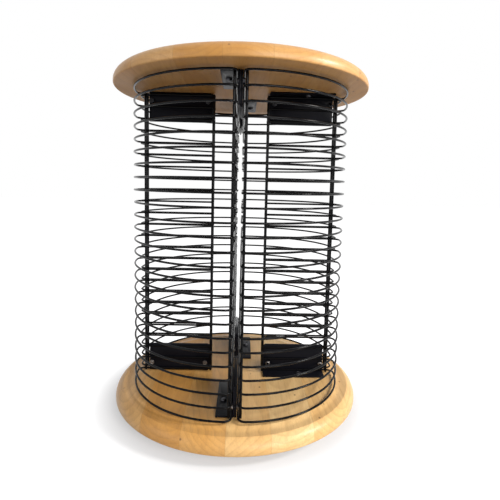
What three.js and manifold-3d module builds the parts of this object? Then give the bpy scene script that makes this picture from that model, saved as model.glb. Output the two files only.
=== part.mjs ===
// Rotating media tower: two like turned wooden discs hold four quarter-round wire racks
// between them, and the whole turns on a ring of balls above four rubber feet.
// Units are millimetres, +Z is up, and the origin is on the floor under the axis.
// The front faces -Y. Racks are drawn in the quarter with +X and +Y and then turned.

import * as THREE from 'three';
import { mergeVertices } from 'three/addons/utils/BufferGeometryUtils.js';
import Module from 'manifold-3d';

const wasm = await Module();
wasm.setup();

// Fits
const seatGap = 0.3; // between two pieces that rest on each other
const cutOverrun = 2; // how far a cutting tool runs past the surface that it cuts

// Shelf wires and uprights of a rack
const levelCount = 25;
const levelPitch = 15;
const wireDiameter = 2.4;
const uprightDiameter = 3;
const weldBite = 0.35; // how deep a shelf wire sinks into the upright that it is welded to
const wireTail = 1.5; // what a shelf wire shows past the inner upright
const innerUprightReach = 35; // from the axis, along an arm
const outerUprightReach = 121; // from the axis, along an arm
const bowLead = 9.4; // from the outer uprights to the furthest line of the bow
const bowInset = 9; // from both middle planes to the centre of the bow
const cornerRadius = 8; // bend between a straight arm and the bow

// Flat plates and angle brackets that close each rack at its foot and its head
const plateThickness = 2;
const plateLead = 0.5; // before the inner upright
const plateSetback = 2.5; // behind the outer upright
const plateRise = 33.5; // from the centre of the end wire, towards the middle of the tower
const plateChamfer = 4.2; // on the two corners near the axis
const bracketSetback = 1; // past the inner upright
const bracketRise = 31.5; // from the centre of the end wire, towards the middle of the tower
const bracketCorner = 3; // chamfers of the leg and the flange
const flangeThickness = 1.8;
const flangeReach = 21; // from the middle plane to the free edge
const flangeScrewReach = 83.5; // from the axis, along an arm
const flangeScrewOffset = 13; // from the middle plane
const flangeScrewHole = 4.5;

// Bolts that clamp a plate and a bracket of two neighbouring racks together
const boltDiameter = 3;
const boltHole = 3.6;
const innerBoltSetback = 7.5; // past the inner upright
const outerBoltSetback = 7; // before the outer upright
const boltHeadWidth = 6.4;
const boltHeadHeight = 2.2;
const boltHeadCrown = 4.2; // width of the flat on top of the head
const boltHeadRim = 1.2; // height of the head's straight side
const nutWidth = 6.2;
const nutHeight = 2.4;

// Wooden discs, both with the moulded side up
const discOverhang = 26.1; // past the racks
const discThickness = 18.5;
const discEdge = 1; // chamfer of the lower edge
const coveWidth = 12; // from the flat middle down to the lowest line of the cove
const coveDepth = 2.8; // below the flat middle
const ridgeWidth = 4.2; // from the lowest line of the cove to the ridge
const ridgeDepth = 2.35; // below the flat middle
const shoulderWidth = 9.3; // from the ridge to the outer edge
const shoulderDrop = 6; // from the ridge to the outer edge

// Swivel and feet under the base disc
const footHeight = 3.5;
const footRadius = 9;
const footChamfer = 0.8;
const footReach = 88; // from the axis
const swivelRadius = 100;
const swivelSheet = 1.6;
const raceRadius = 78;
const raceDepth = 0.4;
const raceWidth = 4;
const ballDiameter = 4.8;
const retainerWidth = 9;
const retainerThickness = 1.2;
const collarRadius = 18;
const collarLip = 5; // how far the rolled lip stands out from the collar
const collarClearance = 0.9; // between the collar and the upper plate's hole
const lipClearance = 2.4; // between the lip and the slope of the upper plate
const slopeWidth = 5;

// Counts that set how finely round shapes are drawn
const wireSides = 4;
const uprightSides = 6;
const cornerSteps = 2;
const bowSteps = 4;
const discSides = 40;
const shoulderSteps = 3;
const swivelSides = 20;
const holeSides = 6;
const boltSides = 6;
const footSides = 12;
const ballSides = 6;
const ballBands = 4;

// Counts of like pieces
const ballCount = 12;
const footCount = 4;

// Distances from the axis that follow from the sizes
const shelfReach = outerUprightReach + bowLead;
const plateStart = innerUprightReach - plateLead;
const plateEnd = outerUprightReach - plateSetback;
const bracketStart = innerUprightReach + bracketSetback;
const bracketEnd = outerUprightReach;
const boltInnerReach = innerUprightReach + innerBoltSetback;
const boltOuterReach = outerUprightReach - outerBoltSetback;
const discRadius = shelfReach + discOverhang;
const ridgeRadius = discRadius - shoulderWidth;
const coveRadius = ridgeRadius - ridgeWidth;
const flatRadius = coveRadius - coveWidth;

// Heights that follow from the sizes
const swivelSpace = ballDiameter + 2 * seatGap - 2 * raceDepth;
const lowerPlateBottom = footHeight + seatGap;
const upperPlateBottom = lowerPlateBottom + swivelSheet + swivelSpace;
const baseBottom = upperPlateBottom + swivelSheet + seatGap;
const baseFace = baseBottom + discThickness;
const endWireRise = seatGap + flangeThickness + seatGap + wireDiameter / 2;
const firstLevel = baseFace + endWireRise;
const lastLevel = firstLevel + (levelCount - 1) * levelPitch;
const topUnderside = lastLevel + endWireRise;
const topFace = topUnderside + discThickness;

// Distances from the middle plane of an arm
const plateInside = seatGap / 2;
const plateOutside = plateInside + plateThickness;
const armPlane = plateOutside + seatGap + wireDiameter / 2;
const uprightPlane = armPlane + wireDiameter / 2 + seatGap + uprightDiameter / 2;
const weldLean = seatGap + weldBite;

const quarterTurn = Math.PI / 2;

const wood = new THREE.MeshStandardMaterial({ color: 0xd9a563, roughness: 0.45, metalness: 0 });
const blackPaint = new THREE.MeshStandardMaterial({ color: 0x17181b, roughness: 0.35, metalness: 0.1 });
const zincSteel = new THREE.MeshStandardMaterial({ color: 0x9a9da1, roughness: 0.4, metalness: 0.9 });
const blackSteel = new THREE.MeshStandardMaterial({ color: 0x232427, roughness: 0.4, metalness: 0.8 });
const rubber = new THREE.MeshStandardMaterial({ color: 0x1c1c1c, roughness: 0.9, metalness: 0 });

// Turns a closed geometry into a solid that can be joined and cut
function solidFrom(geometry) {
  const bare = new THREE.BufferGeometry();
  bare.setAttribute('position', geometry.getAttribute('position'));
  bare.setIndex(geometry.getIndex());
  const merged = mergeVertices(bare);
  const vertProperties = new Float32Array(merged.getAttribute('position').array);
  const triVerts = new Uint32Array(merged.getIndex().array);
  return new wasm.Manifold(new wasm.Mesh({ numProp: 3, vertProperties, triVerts }));
}

function geometryFrom(solid) {
  const mesh = solid.getMesh();
  const geometry = new THREE.BufferGeometry();
  geometry.setAttribute('position', new THREE.BufferAttribute(mesh.vertProperties, mesh.numProp));
  geometry.setIndex(new THREE.BufferAttribute(mesh.triVerts, 1));
  geometry.computeVertexNormals();
  return geometry;
}

function joined(geometries) {
  return geometryFrom(geometries.map(solidFrom).reduce((sum, next) => sum.add(next)));
}

function cutBy(geometry, tools) {
  return geometryFrom(tools.map(solidFrom).reduce((rest, tool) => rest.subtract(tool), solidFrom(geometry)));
}

// A regular polygon with its corners on a circle
function ringShape(diameter, sides) {
  const corners = [];
  for (let side = 0; side < sides; side += 1) {
    const angle = (side * 2 * Math.PI) / sides;
    corners.push(new THREE.Vector2((diameter / 2) * Math.cos(angle), (diameter / 2) * Math.sin(angle)));
  }
  return new THREE.Shape(corners);
}

// Revolves [radius, height] points, listed outwards along the bottom and back along the top
function revolved(points, sides) {
  const profile = points.map(([radius, height]) => new THREE.Vector2(radius, height));
  const geometry = new THREE.LatheGeometry(profile, sides);
  geometry.rotateX(quarterTurn);
  return geometry;
}

// A flat sheet: its outline is drawn along the arm and upwards, its thickness goes towards +Y
function standingSheet(corners, thickness) {
  const outline = new THREE.Shape(corners.map(([along, height]) => new THREE.Vector2(along, height)));
  const geometry = new THREE.ExtrudeGeometry(outline, { depth: thickness, bevelEnabled: false });
  geometry.rotateX(quarterTurn);
  geometry.translate(0, thickness, 0);
  return geometry;
}

// A path through keys, each with a place and the heading of the curve there
class KeyedPath extends THREE.Curve {
  constructor(keys, height) {
    super();
    this.keys = keys;
    this.height = height;
  }

  keyAt(share) {
    return this.keys[Math.round(share * (this.keys.length - 1))];
  }

  getPoint(share, target = new THREE.Vector3()) {
    const key = this.keyAt(share);
    return target.set(key.x, key.y, this.height);
  }

  getTangent(share, target = new THREE.Vector3()) {
    const key = this.keyAt(share);
    return target.set(Math.cos(key.heading), Math.sin(key.heading), 0);
  }

  getUtoTmapping(share) {
    return share;
  }
}

// Keys of half a shelf wire, from its tail at the inner upright to its bow. The arm runs
// along +X, and the wire's distance from the arm's middle plane may change on the way.
function halfWireKeys(innerPlane, outerPlane) {
  const bowRadius = shelfReach - bowInset;
  const centreY = outerPlane + cornerRadius;
  const centreX = bowInset + Math.sqrt((bowRadius - cornerRadius) ** 2 - (centreY - bowInset) ** 2);
  const bowStart = Math.atan2(centreY - bowInset, centreX - bowInset);
  const tailX = innerUprightReach - uprightDiameter / 2 - wireTail;
  const keys = [{ x: tailX, y: innerPlane, heading: Math.atan2(outerPlane - innerPlane, centreX - tailX) }];
  for (let step = 0; step <= cornerSteps; step += 1) {
    const angle = -quarterTurn + ((quarterTurn + bowStart) * step) / cornerSteps;
    keys.push({
      x: centreX + cornerRadius * Math.cos(angle),
      y: centreY + cornerRadius * Math.sin(angle),
      heading: angle + quarterTurn,
    });
  }
  return { keys, bowStart };
}

// The same half on the other arm, run backwards from the bow to the tail
function mirroredBack(keys) {
  return keys.map(({ x, y, heading }) => ({ x: y, y: x, heading: 3 * quarterTurn - heading })).reverse();
}

function bowKeys(start, end) {
  const bowRadius = shelfReach - bowInset;
  const keys = [];
  for (let step = 1; step < bowSteps; step += 1) {
    const angle = start + ((end - start) * step) / bowSteps;
    keys.push({
      x: bowInset + bowRadius * Math.cos(angle),
      y: bowInset + bowRadius * Math.sin(angle),
      heading: angle + quarterTurn,
    });
  }
  return keys;
}

// The four uprights of a rack. Each carries every fourth shelf wire in its node.
const uprights = [
  { name: 'plate_side_inner', arm: 'plate', reach: innerUprightReach },
  { name: 'plate_side_outer', arm: 'plate', reach: outerUprightReach },
  { name: 'bracket_side_inner', arm: 'bracket', reach: innerUprightReach },
  { name: 'bracket_side_outer', arm: 'bracket', reach: outerUprightReach },
];

// A shelf wire leans onto the upright that it is welded to and passes clear of the others
function shelfWire(level, weldedTo) {
  const planeAt = (arm, reach) => {
    const welded = weldedTo.arm === arm && weldedTo.reach === reach;
    return armPlane + (welded ? weldLean : 0);
  };
  const halfOf = (arm) => halfWireKeys(planeAt(arm, innerUprightReach), planeAt(arm, outerUprightReach));
  const first = halfOf('plate');
  const second = halfOf('bracket');
  const keys = [
    ...first.keys,
    ...bowKeys(first.bowStart, quarterTurn - second.bowStart),
    ...mirroredBack(second.keys),
  ];
  const path = new KeyedPath(keys, firstLevel + level * levelPitch);
  return new THREE.ExtrudeGeometry(ringShape(wireDiameter, wireSides), {
    extrudePath: path,
    steps: keys.length - 1,
    bevelEnabled: false,
  });
}

function uprightWire({ arm, reach }) {
  const length = lastLevel - firstLevel + wireDiameter;
  const geometry = new THREE.CylinderGeometry(uprightDiameter / 2, uprightDiameter / 2, length, uprightSides);
  geometry.rotateX(quarterTurn);
  if (arm === 'bracket') geometry.rotateZ(quarterTurn);
  const [x, y] = arm === 'plate' ? [reach, uprightPlane] : [uprightPlane, reach];
  geometry.translate(x, y, (firstLevel + lastLevel) / 2);
  return geometry;
}

function rackComb(upright, index) {
  const parts = [uprightWire(upright)];
  for (let level = index; level < levelCount; level += uprights.length) parts.push(shelfWire(level, upright));
  return joined(parts);
}

// The foot and the head of the racks. A rise is measured from the centre of the end
// wire towards the middle of the tower.
const rackEnds = [
  { name: 'lower', wireHeight: firstLevel, inward: 1 },
  { name: 'upper', wireHeight: lastLevel, inward: -1 },
];
const clampRise = levelPitch / 2;
const woodRise = seatGap - endWireRise;

function heightAt({ wireHeight, inward }, rise) {
  return wireHeight + inward * rise;
}

// A round cutting tool across an arm, from one side of the middle plane to past its sheets
function clampHole(reach, end) {
  const length = plateOutside + 2 * cutOverrun;
  const geometry = new THREE.CylinderGeometry(boltHole / 2, boltHole / 2, length, holeSides);
  geometry.translate(reach, length / 2 - cutOverrun, heightAt(end, clampRise));
  return geometry;
}

// The flat plate lies on the arm along +X, on the near side of the rack's wires
function rackPlate(end) {
  const corners = [
    [plateStart, woodRise + plateChamfer],
    [plateStart + plateChamfer, woodRise],
    [plateEnd, woodRise],
    [plateEnd, plateRise],
    [plateStart + plateChamfer, plateRise],
    [plateStart, plateRise - plateChamfer],
  ];
  const sheet = standingSheet(corners.map(([along, rise]) => [along, heightAt(end, rise)]), plateThickness);
  sheet.translate(0, plateInside, 0);
  return cutBy(sheet, [clampHole(boltInnerReach, end), clampHole(boltOuterReach, end)]);
}

// The angle bracket is drawn on the arm along +X with its flange towards -Y, and then
// turned onto the arm along +Y, so that its flange reaches under the rack.
function rackBracket(end) {
  const legCorners = [
    [bracketStart, woodRise],
    [bracketEnd, woodRise],
    [bracketEnd, bracketRise - bracketCorner],
    [bracketEnd - bracketCorner, bracketRise],
    [bracketStart + bracketCorner, bracketRise],
    [bracketStart, bracketRise - bracketCorner],
  ];
  const leg = standingSheet(legCorners.map(([along, rise]) => [along, heightAt(end, rise)]), plateThickness);
  leg.translate(0, -plateOutside, 0);
  const flangeOutline = new THREE.Shape([
    new THREE.Vector2(bracketStart, -plateInside),
    new THREE.Vector2(bracketStart, -flangeReach + bracketCorner),
    new THREE.Vector2(bracketStart + bracketCorner, -flangeReach),
    new THREE.Vector2(bracketEnd - bracketCorner, -flangeReach),
    new THREE.Vector2(bracketEnd, -flangeReach + bracketCorner),
    new THREE.Vector2(bracketEnd, -plateInside),
  ]);
  const flange = new THREE.ExtrudeGeometry(flangeOutline, { depth: flangeThickness, bevelEnabled: false });
  const flangeHeights = [heightAt(end, woodRise), heightAt(end, woodRise + flangeThickness)];
  flange.translate(0, 0, Math.min(...flangeHeights));
  const screwHole = new THREE.CylinderGeometry(
    flangeScrewHole / 2,
    flangeScrewHole / 2,
    flangeThickness + 2 * cutOverrun,
    holeSides,
  );
  screwHole.rotateX(quarterTurn);
  screwHole.translate(flangeScrewReach, -flangeScrewOffset, (flangeHeights[0] + flangeHeights[1]) / 2);
  const boltHoles = [clampHole(boltInnerReach, end), clampHole(boltOuterReach, end)];
  boltHoles.forEach((hole) => hole.translate(0, -plateOutside, 0));
  const bracket = cutBy(joined([leg, flange]), [...boltHoles, screwHole]);
  bracket.rotateZ(quarterTurn);
  return bracket;
}

// Bolt with its nut, on the arm along +X: the head lies on the bracket and the nut on the plate
function clampBolt(reach, end) {
  const seat = plateOutside + seatGap;
  const profile = [
    [0, -seat - boltHeadHeight],
    [boltHeadCrown / 2, -seat - boltHeadHeight],
    [boltHeadWidth / 2, -seat - boltHeadRim],
    [boltHeadWidth / 2, -seat],
    [boltDiameter / 2, -seat],
    [boltDiameter / 2, seat],
    [nutWidth / 2, seat],
    [nutWidth / 2, seat + nutHeight],
    [0, seat + nutHeight],
  ];
  const geometry = revolved(profile, boltSides);
  geometry.rotateX(-quarterTurn);
  geometry.translate(reach, 0, heightAt(end, clampRise));
  return geometry;
}

// A turned wooden disc, its moulded side up. Depths are measured down from the flat middle:
// a shallow cove falls away from it, rises to a crisp ridge and ends in a rounded shoulder.
function turnedDisc(flatHeight) {
  const points = [
    [0, discThickness],
    [discRadius - discEdge, discThickness],
    [discRadius, discThickness - discEdge],
  ];
  for (let step = shoulderSteps; step > 0; step -= 1) {
    const angle = (quarterTurn * step) / shoulderSteps;
    points.push([
      ridgeRadius + shoulderWidth * Math.sin(angle),
      ridgeDepth + shoulderDrop * (1 - Math.cos(angle)),
    ]);
  }
  points.push([ridgeRadius, ridgeDepth], [coveRadius, coveDepth], [flatRadius, 0], [0, 0]);
  return revolved(points.map(([radius, depth]) => [radius, flatHeight - depth]), discSides);
}

// Lower plate of the swivel, with the collar that is rolled over the upper plate's hole
function swivelLowerPlate() {
  const bottom = lowerPlateBottom;
  const top = bottom + swivelSheet;
  const lipTop = baseBottom - seatGap;
  const lipBottom = lipTop - swivelSheet;
  const bore = collarRadius - swivelSheet;
  return revolved([
    [bore, bottom],
    [swivelRadius, bottom],
    [swivelRadius, top],
    [raceRadius + raceWidth / 2, top],
    [raceRadius, top - raceDepth],
    [raceRadius - raceWidth / 2, top],
    [collarRadius, top],
    [collarRadius, lipBottom],
    [collarRadius + collarLip, lipBottom],
    [collarRadius + collarLip, lipTop],
    [bore, lipTop],
    [bore, bottom],
  ], swivelSides);
}

// Upper plate of the swivel: its middle is dished, so that the collar's lip lies in the dish
function swivelUpperPlate() {
  const bottom = upperPlateBottom;
  const top = bottom + swivelSheet;
  const rimTop = baseBottom - 2 * seatGap - swivelSheet;
  const rimBottom = rimTop - swivelSheet;
  const hole = collarRadius + collarClearance;
  const rimEnd = collarRadius + collarLip + lipClearance;
  return revolved([
    [hole, rimBottom],
    [rimEnd, rimBottom],
    [rimEnd + slopeWidth, bottom],
    [raceRadius - raceWidth / 2, bottom],
    [raceRadius, bottom + raceDepth],
    [raceRadius + raceWidth / 2, bottom],
    [swivelRadius, bottom],
    [swivelRadius, top],
    [rimEnd + slopeWidth, top],
    [rimEnd, rimTop],
    [hole, rimTop],
    [hole, rimBottom],
  ], swivelSides);
}

// Retainer with its balls
function ballRing() {
  const middle = (lowerPlateBottom + swivelSheet + upperPlateBottom) / 2;
  const [inner, outer] = [raceRadius - retainerWidth / 2, raceRadius + retainerWidth / 2];
  const [bottom, top] = [middle - retainerThickness / 2, middle + retainerThickness / 2];
  const section = [[inner, bottom], [outer, bottom], [outer, top], [inner, top], [inner, bottom]];
  const parts = [revolved(section, swivelSides)];
  for (let index = 0; index < ballCount; index += 1) {
    const ball = new THREE.SphereGeometry(ballDiameter / 2, ballSides, ballBands);
    ball.rotateX(quarterTurn);
    ball.translate(raceRadius, 0, middle);
    ball.rotateZ((2 * Math.PI * index) / ballCount);
    parts.push(ball);
  }
  return joined(parts);
}

function rubberFoot() {
  return revolved([
    [0, 0],
    [footRadius - footChamfer, 0],
    [footRadius, footChamfer],
    [footRadius, footHeight],
    [0, footHeight],
  ], footSides);
}

const tower = new THREE.Group();

function addPiece(name, geometry, material, turn = 0) {
  const mesh = new THREE.Mesh(geometry, material.clone());
  mesh.name = name;
  mesh.rotation.z = turn;
  tower.add(mesh);
  return mesh;
}

addPiece('base_disc', turnedDisc(baseFace), wood);
addPiece('top_disc', turnedDisc(topFace), wood);

const racks = ['back_right', 'back_left', 'front_left', 'front_right'];
const combs = uprights.map(rackComb);
const plates = rackEnds.map(rackPlate);
const brackets = rackEnds.map(rackBracket);
const boltReaches = [{ name: 'inner', reach: boltInnerReach }, { name: 'outer', reach: boltOuterReach }];

racks.forEach((rack, quarter) => {
  const turn = quarter * quarterTurn;
  uprights.forEach(({ name }, index) => addPiece(`${rack}_rack_${name}`, combs[index], blackPaint, turn));
  rackEnds.forEach((end, index) => {
    addPiece(`${rack}_${end.name}_plate`, plates[index], blackPaint, turn);
    addPiece(`${rack}_${end.name}_bracket`, brackets[index], blackPaint, turn);
    boltReaches.forEach(({ name, reach }) => {
      addPiece(`${rack}_${end.name}_${name}_bolt`, clampBolt(reach, end), zincSteel, turn);
    });
  });
});

addPiece('swivel_lower_plate', swivelLowerPlate(), blackSteel);
addPiece('swivel_upper_plate', swivelUpperPlate(), blackSteel);
addPiece('swivel_ball_ring', ballRing(), zincSteel);
for (let index = 0; index < footCount; index += 1) {
  const turn = (index + 1 / 2) * ((2 * Math.PI) / footCount);
  const foot = addPiece(`rubber_foot_${index + 1}`, rubberFoot(), rubber, turn);
  foot.position.set(footReach * Math.cos(turn), footReach * Math.sin(turn), 0);
}

export default tower;
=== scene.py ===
"""A rotating media tower: two turned wooden discs with four quarter-round black wire
racks between them, on a ball swivel with rubber feet. The looks are built around the
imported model, in metres, piece by piece from the floor up."""
import math

import bmesh
import bpy
from mathutils import Matrix, Vector


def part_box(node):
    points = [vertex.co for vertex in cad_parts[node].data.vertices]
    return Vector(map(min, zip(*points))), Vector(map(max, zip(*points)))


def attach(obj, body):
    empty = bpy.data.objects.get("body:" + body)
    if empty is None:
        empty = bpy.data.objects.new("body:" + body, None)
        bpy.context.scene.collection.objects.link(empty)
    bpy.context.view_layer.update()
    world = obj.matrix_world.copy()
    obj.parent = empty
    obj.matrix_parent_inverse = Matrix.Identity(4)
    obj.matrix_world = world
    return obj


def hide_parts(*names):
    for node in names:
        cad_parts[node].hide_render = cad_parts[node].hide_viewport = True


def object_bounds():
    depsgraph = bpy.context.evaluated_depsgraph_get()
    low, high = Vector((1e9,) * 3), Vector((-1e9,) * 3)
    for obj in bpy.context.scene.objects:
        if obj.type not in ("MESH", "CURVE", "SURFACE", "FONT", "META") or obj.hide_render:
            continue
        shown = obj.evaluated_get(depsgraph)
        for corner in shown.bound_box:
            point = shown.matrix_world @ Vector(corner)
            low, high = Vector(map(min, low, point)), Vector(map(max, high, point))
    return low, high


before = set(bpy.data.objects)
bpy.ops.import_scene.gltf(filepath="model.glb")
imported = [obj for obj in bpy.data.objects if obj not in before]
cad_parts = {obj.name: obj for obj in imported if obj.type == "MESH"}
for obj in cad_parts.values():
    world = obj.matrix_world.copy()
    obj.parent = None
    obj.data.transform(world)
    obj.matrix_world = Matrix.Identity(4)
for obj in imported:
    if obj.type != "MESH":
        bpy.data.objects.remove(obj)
cad_box = [list(corner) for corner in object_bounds()]


# Camera. It stands a little over half a metre in front of the tower, above its middle,
# and looks slightly down. Yaw, pitch, roll, lens and shift follow the photograph.
def in_scene(name, data):
    """Puts a camera, lamp or mesh into the scene as an object at the origin."""
    item = bpy.data.objects.new(name, data)
    bpy.context.scene.collection.objects.link(item)
    return item


camera_place = Vector((0.0038, -0.5405, 0.2823))
camera_yaw, camera_pitch, camera_roll = (math.radians(angle) for angle in (1.138, -5.73, 1.289))
camera_ahead = Vector((
    math.sin(camera_yaw) * math.cos(camera_pitch),
    math.cos(camera_yaw) * math.cos(camera_pitch),
    math.sin(camera_pitch),
))
camera_level = Vector((math.cos(camera_yaw), -math.sin(camera_yaw), 0))
camera_up = camera_level.cross(camera_ahead)
camera_right = camera_level * math.cos(camera_roll) + camera_up * math.sin(camera_roll)
camera_top = camera_up * math.cos(camera_roll) - camera_level * math.sin(camera_roll)
camera = in_scene("camera", bpy.data.cameras.new("camera"))
camera.data.lens = 29.6
camera.data.sensor_width = 36
camera.data.shift_y = -0.0472
camera.data.clip_start = 0.01
camera.matrix_world = (
    Matrix.Translation(camera_place)
    @ Matrix((camera_right, camera_top, -camera_ahead)).transposed().to_4x4()
)
bpy.context.scene.camera = camera
bpy.context.scene.view_settings.view_transform = "Standard"


# Studio. A pale floor that fades into a white room; its glow is weaker close to the tower,
# a painted shade round its foot. A soft lamp stands on the right like a window, a larger
# one on the right of the camera, and a weak one on the left.
def put(tree, kind, inputs=None, **settings):
    """Adds a node to a tree. An input is a value, or the output of another node."""
    node = tree.nodes.new(kind)
    for key, value in settings.items():
        setattr(node, key, value)
    for key, value in (inputs or {}).items():
        if isinstance(value, bpy.types.NodeSocket):
            tree.links.new(value, node.inputs[key])
        else:
            node.inputs[key].default_value = value
    return node


def out_of(tree, kind, inputs=None, **settings):
    """Adds a node to a tree and gives its first output."""
    return put(tree, kind, inputs, **settings).outputs[0]


def math_of(tree, operation, first, second=0.0, clamp=False):
    """One sum or comparison of two numbers."""
    return out_of(tree, "ShaderNodeMath", {0: first, 1: second}, operation=operation, use_clamp=clamp)


studio = bpy.data.worlds.new("white_room")
studio.use_nodes = True
bpy.context.scene.world = studio
room = studio.node_tree
room.nodes.clear()
room_light = out_of(room, "ShaderNodeBackground", {"Color": (0.95, 0.96, 1.0, 1), "Strength": 0.14})
room_seen = out_of(room, "ShaderNodeBackground", {"Color": (1, 1, 1, 1), "Strength": 1.0})


def seen_rays(tree):
    """1 for the rays that show the background: straight, mirrored or through glass."""
    ray = put(tree, "ShaderNodeLightPath").outputs
    mirrored = math_of(tree, "MAXIMUM", ray["Is Glossy Ray"], ray["Is Transmission Ray"])
    return math_of(tree, "MAXIMUM", ray["Is Camera Ray"], mirrored)


room_mix = out_of(room, "ShaderNodeMixShader", {0: seen_rays(room), 1: room_light, 2: room_seen})
put(room, "ShaderNodeOutputWorld", {"Surface": room_mix})


def soft_lamp(name, place, size, power, colour):
    """A square lamp that faces the middle of the tower."""
    lamp = bpy.data.lights.new(name, "AREA")
    lamp.shape = "SQUARE"
    lamp.size = size
    lamp.energy = power
    lamp.color = colour
    tower_middle = Vector((0, 0, (cad_box[0][2] + cad_box[1][2]) / 2))
    aim = (tower_middle - Vector(place)).to_track_quat("-Z", "Y")
    in_scene(name, lamp).matrix_world = Matrix.Translation(place) @ aim.to_matrix().to_4x4()


soft_lamp("window_lamp", (1.60, -0.44, 1.12), size=0.38, power=32, colour=(1.0, 0.98, 0.95))
soft_lamp("front_lamp", (0.84, -1.58, 0.85), size=0.9, power=27, colour=(1.0, 0.98, 0.95))
soft_lamp("left_lamp", (-1.3, -0.75, 0.75), size=1.0, power=5.5, colour=(0.93, 0.96, 1.0))

square_corners = ((-1, -1), (1, -1), (1, 1), (-1, 1))
floor_reach = 6
floor_mesh = bpy.data.meshes.new("studio_floor")
floor_mesh.from_pydata([(x * floor_reach, y * floor_reach, 0) for x, y in square_corners], [], [(0, 1, 2, 3)])
floor = in_scene("studio_floor", floor_mesh)
floor_paint = bpy.data.materials.new("pale_floor")
floor_paint.use_nodes = True
tree = floor_paint.node_tree
tree.nodes.clear()
# The floor's glow is weaker near the tower: painted shade that greys the floor round its foot.
floor_fade_start = 0.145
floor_fade_end = 0.210
floor_glow_in_painted_shade = 0.46
floor_matt = out_of(tree, "ShaderNodeBsdfDiffuse", {"Color": (0.43, 0.43, 0.44, 1)})
floor_place = put(tree, "ShaderNodeTexCoord").outputs["Object"]
axis_reach = put(tree, "ShaderNodeVectorMath", {0: floor_place}, operation="LENGTH").outputs["Value"]
floor_glow = out_of(tree, "ShaderNodeMapRange", {
    "Value": axis_reach, "From Min": floor_fade_start, "From Max": floor_fade_end,
    "To Min": floor_glow_in_painted_shade, "To Max": 1.0,
}, interpolation_type="SMOOTHSTEP")
floor_white = out_of(tree, "ShaderNodeEmission", {"Color": (1, 1, 1, 1), "Strength": floor_glow})
floor_lift = out_of(tree, "ShaderNodeMixShader", {0: seen_rays(tree), 2: floor_white})
floor_sum = out_of(tree, "ShaderNodeAddShader", {0: floor_matt, 1: floor_lift})
put(tree, "ShaderNodeOutputMaterial", {"Surface": floor_sum})
floor_mesh.materials.append(floor_paint)


# Rubber feet. Four moulded pads of matt black rubber, fixed under the lower swivel plate.
# Each is a little narrower at the floor and dished underneath.
def soft_corners(points, radius, steps=4):
    """Rounds the inner corners of an open outline of (x, y) points."""
    largest_share = 0.45
    rounded = [points[0]]
    for before, corner, after in zip(points, points[1:], points[2:]):
        before, corner, after = Vector(before), Vector(corner), Vector(after)
        shorter = min((before - corner).length, (after - corner).length)
        reach = min(radius, shorter * largest_share)
        start = corner + (before - corner).normalized() * reach
        end = corner + (after - corner).normalized() * reach
        for step in range(steps + 1):
            share = step / steps
            rounded.append(tuple(
                start * (1 - share) ** 2 + corner * 2 * share * (1 - share) + end * share ** 2
            ))
    return rounded + [points[-1]]


def mesh_of(name, form):
    """Turns a bmesh into a mesh."""
    mesh = bpy.data.meshes.new(name)
    form.to_mesh(mesh)
    form.free()
    return mesh


def smooth_piece(name, mesh, sharp_from=38):
    """Puts a mesh into the scene, smooth but for the edges above an angle in degrees."""
    mesh.shade_smooth()
    mesh.set_sharp_from_angle(angle=math.radians(sharp_from))
    return in_scene(name, mesh)


def turned_mesh(name, profile, sides, centre=(0, 0)):
    """A turned form: (radius, height) points from the axis or back to their own start."""
    form = bmesh.new()
    closed = profile[0] == profile[-1]
    rings = []
    for radius, height in profile[:-1] if closed else profile:
        if radius == 0:
            rings.append([form.verts.new((centre[0], centre[1], height))])
            continue
        rings.append([
            form.verts.new((
                centre[0] + radius * math.cos(2 * math.pi * side / sides),
                centre[1] + radius * math.sin(2 * math.pi * side / sides),
                height,
            ))
            for side in range(sides)
        ])
    pairs = list(zip(rings, rings[1:])) + ([(rings[-1], rings[0])] if closed else [])
    for low, high in pairs:
        for side in range(sides):
            far = side + 1
            under = (low[side % len(low)], low[far % len(low)])
            over = (high[far % len(high)], high[side % len(high)])
            corners = list(dict.fromkeys(under + over))
            if len(corners) > 2:
                form.faces.new(corners)
    bmesh.ops.recalc_face_normals(form, faces=form.faces)
    return mesh_of(name, form)


def turned(name, profile, sides, centre=(0, 0)):
    """A turned form as a piece in the scene."""
    return smooth_piece(name, turned_mesh(name, profile, sides, centre))


def finish_piece(piece, material, body, nodes=()):
    """Gives a piece its material, its body and the CAD nodes that it replaces."""
    piece.data.materials.clear()
    piece.data.materials.append(material)
    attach(piece, body)
    if nodes:
        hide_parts(*nodes)


def new_material(name):
    """An empty material, with its tree and the Object coordinates."""
    material = bpy.data.materials.new(name)
    material.use_nodes = True
    tree = material.node_tree
    tree.nodes.clear()
    return material, tree, put(tree, "ShaderNodeTexCoord").outputs["Object"]


def surface(tree, inputs):
    """Ends a material in one Principled shader."""
    put(tree, "ShaderNodeOutputMaterial", {"Surface": out_of(tree, "ShaderNodeBsdfPrincipled", inputs)})


def noise_of(tree, coordinates, scale, detail, roughness=0.5):
    """A noise between 0 and 1."""
    inputs = {"Vector": coordinates, "Scale": scale, "Detail": detail, "Roughness": roughness}
    return put(tree, "ShaderNodeTexNoise", inputs).outputs["Fac"]


def span_of(tree, value, low, high, to_low=0.0, to_high=1.0):
    """Spreads one range of a number over another."""
    inputs = {"Value": value, "From Min": low, "From Max": high, "To Min": to_low, "To Max": to_high}
    return out_of(tree, "ShaderNodeMapRange", inputs)


def blend_of(tree, share, first, second):
    """Mixes two colours."""
    return put(tree, "ShaderNodeMix", {0: share, 6: first, 7: second}, data_type="RGBA").outputs[2]


def relief_of(tree, height, distance, strength):
    """Turns a height into a normal."""
    inputs = {"Height": height, "Distance": distance, "Strength": strength}
    return put(tree, "ShaderNodeBump", inputs).outputs["Normal"]


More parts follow.
